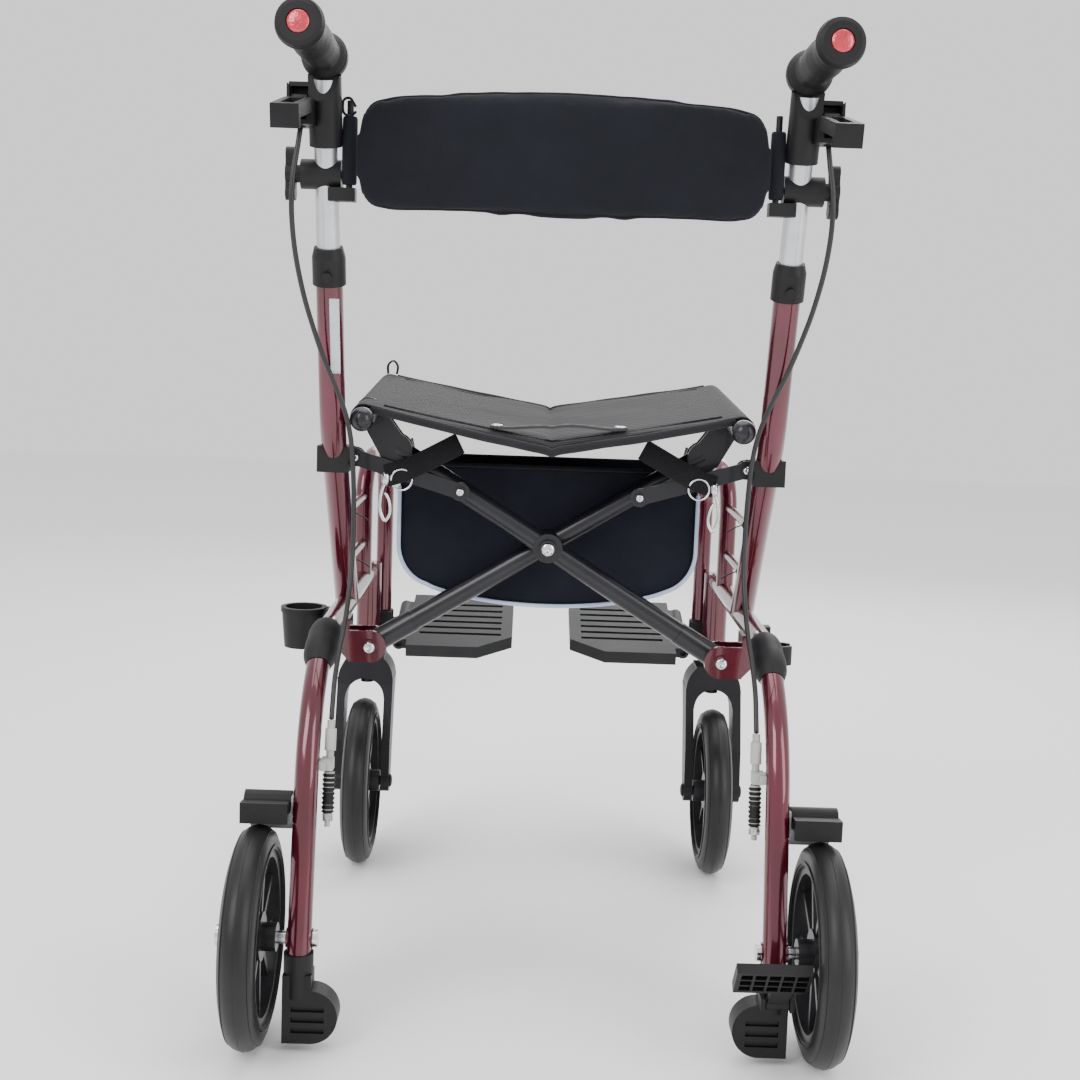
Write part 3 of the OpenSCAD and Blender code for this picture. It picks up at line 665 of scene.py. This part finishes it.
def bag_outline(n=90):
    """The bag's outline from its top left corner, down, across the bottom and up to its top right."""
    pts = []
    corner = 0.030
    for i in range(14):
        pts.append(Vector((-BAG_X, 0, BAG_TOP - (BAG_TOP - 0.398 - corner) * i / 14)))
    for i in range(9):
        a = math.pi + (math.pi / 2) * i / 9
        pts.append(Vector((-BAG_X + corner + corner * math.cos(a), 0,
            0.3975 + corner + corner * math.sin(a) - 0.0125 * i / 9)))
    for i in range(36):
        x = -BAG_X + corner + 2 * (BAG_X - corner) * i / 36
        across = min(abs(x) / (BAG_X - corner), 1.0)
        pts.append(Vector((x, 0, 0.385 - 0.0195 * (1 - across ** 2) ** 0.8)))
    mirror = [Vector((-p.x, 0, p.z)) for p in pts[:23]]
    return pts + mirror[::-1]


def build_bag():
    line = bag_outline()
    m = len(line)
    rows = 16
    verts, faces = [], []
    mid = Vector((0, 0, 0.455))
    for layer in (0, 1):
        for j in range(rows):
            v = j / (rows - 1)
            y = BAG_Y0 + (BAG_Y1 - BAG_Y0) * v
            for p in line:
                d = (p - mid).normalized()
                sag = math.sin(math.pi * v)
                q = Vector((p.x, y, p.z)) - d * (0.004 * sag + 0.0014 * layer)
                q += d * (wobble(Vector((p.x, y, p.z)), 22.0, 0.002, 7.0) * sag)
                verts.append(q)
    t = rows * m
    faces += grid_faces(rows, m)
    faces += grid_faces(rows, m, t)
    for j in range(rows - 1):
        for i in (0, m - 1):
            faces.append((j * m + i, (j + 1) * m + i, t + (j + 1) * m + i, t + j * m + i))
    for i in range(m - 1):
        for j in (0, rows - 1):
            faces.append((j * m + i, j * m + i + 1, t + j * m + i + 1, t + j * m + i))
    shell = make("bag_gusset", verts, faces, BAG_CLOTH)
    panels = []
    for tag, y, sgn in (("rear", BAG_Y0, 1), ("front", BAG_Y1, -1)):
        cols, prows = 48, 24
        verts, faces = [], []
        for layer in (0, 1):
            for i in range(cols):
                u = -1 + 2 * i / (cols - 1)
                x = u * BAG_X * 0.9995
                low = min((abs(p.x - x), p.z) for p in line if p.z < 0.43)[1] if abs(u) < 0.995 else 0.430
                if abs(x) > BAG_X - 0.030:
                    k = (abs(x) - (BAG_X - 0.030)) / 0.030
                    low = 0.385 + 0.0425 * (1 - math.sqrt(max(0.0, 1 - k * k)))
                for j in range(prows):
                    v = j / (prows - 1)
                    z = low + (BAG_TOP - low) * v
                    inner = math.sin(math.pi * min(max((u + 1) / 2, 0), 1)) * math.sin(math.pi * min(v,
                        1) * 0.93)
                    puff = 0.0022 * inner + 0.0022 * inner * wobble(Vector((x, y, z)), 20.0, 1.0, 4.0)
                    puff += 0.0010 * inner * math.sin(38 * x + 22 * z)
                    yy = y + sgn * (0.0014 * layer) + sgn * (0.0026 - puff)
                    verts.append(Vector((x, yy, z)))
        t = cols * prows
        faces += grid_faces(cols, prows) + grid_faces(cols, prows, t)
        for i in range(cols - 1):
            for j in (0, prows - 1):
                faces.append((i * prows + j, (i + 1) * prows + j, t + (i + 1) * prows + j,
                    t + i * prows + j))
        for j in range(prows - 1):
            for i in (0, cols - 1):
                faces.append((i * prows + j, i * prows + j + 1, t + i * prows + j + 1, t + i * prows + j))
        panels.append(make(f"bag_panel_{tag}", verts, faces, BAG_CLOTH))
    return shell, panels


def on_bag(obj):
    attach(obj, "left_frame")
    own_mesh(obj)


gusset, panels = build_bag()
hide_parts("storage_bag")
on_bag(gusset)
for p in panels:
    on_bag(p)
for tag, y in (("rear", BAG_Y0 - 0.0004), ("front", BAG_Y1 + 0.0004)):
    line = [Vector((p.x * 1.003, y, p.z - 0.001)) for p in bag_outline() if p.z < 0.492]
    piping = tube(f"bag_piping_{tag}", line, 0.0021, PIPING, 10)
    on_bag(piping)
    top = [Vector((x, y, BAG_TOP - 0.001)) for x in [-BAG_X + 2 * BAG_X * i / 40 for i in range(41)]]
    hem = tube(f"bag_hem_{tag}", top, 0.0022, WEB, 8)
    on_bag(hem)

# Hanging tabs that carry the bag from the seat's rails.
for side, sx in (("left", -1), ("right", 1)):
    for k, y in enumerate((290, 382)):
        tab = ribbon(
            f"bag_tab_{side}_{k}",
            smooth_path([pt(sx * 150, y, 496), pt(sx * 151, y, 515), pt(sx * 154, y, 530)], 5),
                (0, 1, 0), 0.022, 0.0018, WEB,
        )
        on_bag(tab)

# ---------------------------------------------------------------- webbing, rings and hooks

for side, sx in (("left", -1), ("right", 1)):
    link = f"link_{side}"
    ring_c = pt(sx * 150, 208.5, 500)
    ring = tube(
        f"key_ring_{side}",
        [ring_c + Vector((0.0105 * math.cos(a), 0.0008 * math.sin(2 * a), 0.0105 * math.sin(a)))
         for a in [2 * math.pi * i / 40 for i in range(40)]],
        0.0011, CHROME, 8, closed=True,
    )
    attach(ring, link)
    body = tube(
        f"snap_hook_{side}",
        smooth_path([pt(sx * 166, 209, 498), pt(sx * 170, 209, 486), pt(sx * 171, 209, 470),
            pt(sx * 166, 209, 458),
                     pt(sx * 161, 209, 466), pt(sx * 162, 209, 478), pt(sx * 166, 209, 486)], 6),
        0.0018, CHROME, 8,
    )
    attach(body, link)
    eye = lathe(f"hook_swivel_{side}", pt(sx * 166, 209, 498), (0, 0, 1),
                [(-0.004, 0.0028), (0.0, 0.0040), (0.006, 0.0040), (0.009, 0.0026)], CHROME, 20)
    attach(eye, link)
    web = ribbon(
        f"web_strap_{side}",
        smooth_path([pt(sx * 166, 209.5, 503), pt(sx * 150, 209.5, 508), pt(sx * 128, 209.0, 519),
            pt(sx * 106, 208.0, 531),
                     pt(sx * 92, 206.0, 539)], 6),
        (0, 0.15, 1), 0.022, 0.0020, WEB,
    )
    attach(web, link)

# ---------------------------------------------------------------- small fittings

# The leg in its side plane, as (y, z) in mm: the foot, the corner and the bend's radius.
LEG_FOOT, LEG_CORNER, LEG_BEND = Vector((-8.0, 88.0)), Vector((46.5, 355.0)), 150.0

# Rubber saddle ring round the bend of each leg.
for side, sx in (("left", -1), ("right", 1)):
    r_bend = LEG_BEND
    d0 = (LEG_CORNER - LEG_FOOT).normalized()
    turn = math.atan2(d0.y, d0.x)
    start = LEG_CORNER - d0 * (r_bend * math.tan(turn / 2))
    mid = start + Vector((d0.y, -d0.x)) * r_bend
    rings = []
    for i in range(15):
        a = math.radians(94 + i * 2.0)
        rings.append(pt(sx * 215, mid.x + r_bend * math.cos(a), mid.y + r_bend * math.sin(a)))
    saddle_r = [0.0113, 0.0135, 0.0152, 0.0158, 0.0160, 0.0160, 0.0158, 0.0155, 0.0158, 0.0160, 0.0160,
        0.0158, 0.0152, 0.0135, 0.0113]
    frames = frames_along(rings)
    verts, faces = [], []
    n = 28
    for p, (t, u, w), r in zip(rings, frames, saddle_r):
        for k in range(n):
            a = 2 * math.pi * k / n
            verts.append(p + (u * math.cos(a) + w * math.sin(a)) * r)
    for i in range(len(rings) - 1):
        for k in range(n):
            faces.append((i * n + k, i * n + (k + 1) % n, (i + 1) * n + (k + 1) % n, (i + 1) * n + k))
    saddle = make(f"leg_saddle_{side}", verts, faces, GRIP)
    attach(saddle, f"{side}_frame")

    # Reflector in the end of each grip.
    gy, gz = 66.0, 887.0
    tilt, yaw = math.radians(3.5), math.radians(3.0)
    d = Vector((sx * math.sin(yaw) * math.cos(tilt), -math.cos(yaw) * math.cos(tilt), math.sin(tilt)))
    base = pt(sx * 215, gy, gz) + d * 0.1125
    refl = lathe(f"grip_reflector_{side}", base, d,
                 [(0.0, 0.0097), (0.0024, 0.0097), (0.0034, 0.0090), (0.0042, 0.0060), (0.0046, 0.0)],
                     REFLECT, 32)
    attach(refl, f"{side}_handle")

    # Bolt heads that face the rear.
    y_cross = 257 if side == "left" else 233
    for name, x, y, z, r, body in (
        ("bracket_bolt", 182, y_cross - 20.5, 321, 0.0058, f"{side}_frame"),
        ("link_bolt", 198, 212.5, 520.6, 0.0040, f"link_{side}"),
        ("link_end_bolt", 91, 212.5, 489, 0.0040, f"link_{side}"),
    ):
        head = bolt(f"{name}_{side}", pt(sx * x, y, z), (0, -1, 0), r, 0.0028, CHROME)
        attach(head, body)

    # Screw dots in the clamp and the caster axle's ends.
    dot = bolt(f"clamp_screw_{side}", pt(sx * 200.4, 96.3, 787), (-sx, 0, 0), 0.0038, 0.0020, CHROME)
    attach(dot, f"{side}_handle")
    for k, s2 in (("inner", -1), ("outer", 1)):
        head = bolt(f"caster_bolt_{k}_{side}", pt(sx * 215 + s2 * 34, 505, 100), (s2, 0, 0), 0.0078,
            0.0034, PLASTIC)
        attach(head, f"caster_fork_{side}")

    # Cable ties on the rungs.
    for k, (y, z) in enumerate(((300, 455), (330, 400))):
        tie = tube(
            f"cable_tie_{side}_{k}",
            [pt(sx * 215, y, z) + Vector((0.0058 * math.cos(a), 0, 0.0058 * math.sin(a)))
                for a in [2 * math.pi * i / 20 for i in range(20)]],
            0.0011, PLASTIC, 6, closed=True,
        )
        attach(tie, f"{side}_frame")
        tail = ribbon(f"tie_tail_{side}_{k}",
            smooth_path([pt(sx * 209, y, z), pt(sx * 200, y - 2, z - 3), pt(sx * 192, y - 3, z - 8)],
            4),
                      (0, 1, 0), 0.0026, 0.0010, PLASTIC)
        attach(tail, f"{side}_frame")

    # The brake cable, a smooth tube bending along its given route.
    route = [
        (236, 72, 825), (238, 68, 806), (241, 64, 780), (242, 66, 750), (240, 78, 715), (235, 96, 680),
            (228, 112, 650),
        (219, 126, 620), (208, 136, 592), (199, 142, 566), (194, 146, 540), (192, 150, 510),
            (191, 152, 470), (191, 148, 430),
        (192, 132, 395), (193, 108, 368), (195, 84, 345), (196, 66, 325), (196, 54, 306),
            (196, 46.7, 292),
    ]
    cable = tube(f"cable_{side}", smooth_path([pt(sx * x, y, z) for x, y, z in route], 6), 0.0024,
        CABLE, 12)
    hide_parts(f"brake_cable_{side}")
    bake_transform(cable)
    # Bellows over the adjuster.
    leg_tilt = math.atan2(54.5, 267.0)
    axis = Vector((0, math.sin(leg_tilt), math.cos(leg_tilt)))
    foot = pt(sx * 196, 19 + (208 - 196) * math.tan(leg_tilt) + 8, 208)
    prof = [(0.0, 0.0030)]
    for k in range(9):
        prof += [(0.0012 + k * 0.0042, 0.0062), (0.0030 + k * 0.0042, 0.0046)]
    prof += [(0.0400, 0.0034)]
    bellow = lathe(f"bellows_{side}", foot, axis, prof, GRIP, 24)
    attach(bellow, f"{side}_frame")
    nut = lathe(f"puller_nut_{side}", foot - axis * 0.007, axis,
        [(0, 0.0030), (0, 0.0052), (0.005, 0.0052), (0.005, 0.0030)], CHROME, 6)
    for p in nut.data.polygons:
        p.use_smooth = False
    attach(nut, f"{side}_frame")

    # Moulded line round the crown of each tyre, and a plain inner shoulder.
    for kind, x, y, body in (("rear", 258, 0, f"rear_wheel_{side}"),
        ("caster", 215, 505, f"caster_wheel_{side}")):
        for k, (dx, r, w) in enumerate(((0, 0.0999, 0.0005), (-12.0, 0.0945, 0.0006),
            (12.0, 0.0945, 0.0006))):
            c = pt(sx * x + dx, y, 100)
            line = tube(
                f"{kind}_tyre_line_{side}_{k}",
                [c + Vector((0, r * math.cos(a), r * math.sin(a)))
                    for a in [2 * math.pi * i / 96 for i in range(96)]],
                w, TYRE, 6, closed=True,
            )
            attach(line, body)

# Bolt of the cross frame, strap loop at the pad and the plain label on the left upright.
head = bolt("centre_bolt", pt(0, 215.5, 433), (0, -1, 0), 0.0068, 0.0036, CHROME)
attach(head, "cross_a")
loop = tube(
    "pad_strap_loop",
    smooth_path([pt(-188, 80, 846), pt(-193, 79, 853), pt(-199, 80, 851), pt(-199, 82, 841),
        pt(-193, 83, 838), pt(-188, 83, 842)], 5),
    0.0013, WEB, 8,
)
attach(loop, "left_handle")


def build_label():
    verts, faces = [], []
    cols, rows = 12, 20
    low, high = 606.0, 676.0
    for j in range(rows):
        z = low + (high - low) * j / (rows - 1)
        cy = 170 - (z - 550) * math.tan(LEAN)
        for i in range(cols):
            a = math.radians(-85 + 44 * i / (cols - 1))
            verts.append(pt(-215 + 12.85 * math.cos(a), cy + 12.85 * math.sin(a) / math.cos(LEAN), z))
    faces += grid_faces(rows, cols)
    o = make("upright_label", verts, faces, LABEL)
    sol = o.modifiers.new("thick", "SOLIDIFY")
    sol.thickness = 0.0003
    bake(o)
    return o


label = build_label()
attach(label, "left_frame")

# ---------------------------------------------------------------- stage, light and camera


def stage_plane():
    s = 6.0
    verts = [(-s, -s, 0), (s, -s, 0), (s, s, 0), (-s, s, 0)]
    m, t, b = nodes_of("floor")
    b.inputs["Base Color"].default_value = (0.94, 0.94, 0.94, 1)
    b.inputs["Roughness"].default_value = 0.7
    b.inputs["Specular IOR Level"].default_value = 0.2
    return make("floor", verts, [(0, 1, 2, 3)], m, smooth=False)


floor = stage_plane()
floor.location.z = -0.0005

world = bpy.context.scene.world or bpy.data.worlds.new("studio")
bpy.context.scene.world = world
world.use_nodes = True
bg = world.node_tree.nodes.get("Background") or world.node_tree.nodes.new("ShaderNodeBackground")
bg.inputs["Color"].default_value = (1.0, 1.0, 1.0, 1)
bg.inputs["Strength"].default_value = 1.15


def area(name, loc, target, size, power, colour=(1, 1, 1)):
    d = bpy.data.lights.new(name, "AREA")
    d.shape = "RECTANGLE"
    d.size, d.size_y = size
    d.energy = power
    d.color = colour
    o = bpy.data.objects.new(name, d)
    o.location = loc
    o.rotation_euler = (Vector(target) - Vector(loc)).to_track_quat("-Z", "Y").to_euler()
    bpy.context.scene.collection.objects.link(o)
    return o


area("key", (-1.6, -1.9, 2.1), (0, 0, 0.45), (1.2, 1.6), 42)
area("fill", (1.9, -1.5, 1.3), (0, 0, 0.45), (1.0, 1.8), 26)
area("top", (0.0, 0.3, 2.7), (0, 0, 0.4), (2.2, 2.0), 36)
area("back", (0.6, 2.2, 1.6), (0, 0, 0.5), (1.8, 1.2), 22)

cam_data = bpy.data.cameras.new("camera")
cam_data.sensor_width = 36.0
cam_data.lens = 51.57
cam = bpy.data.objects.new("camera", cam_data)
bpy.context.scene.collection.objects.link(cam)
CAMERA_AT = (-0.022, -1.628, 0.648)
HEADING, PITCH, ROLL = math.radians(-0.5), math.radians(-7.5), math.radians(2.0)
aim = Matrix.Rotation(HEADING, 4, "Z") @ Matrix.Rotation(math.pi / 2 + PITCH, 4, "X")
cam.matrix_world = Matrix.Translation(CAMERA_AT) @ aim @ Matrix.Rotation(ROLL, 4, "Z")
bpy.context.scene.camera = cam
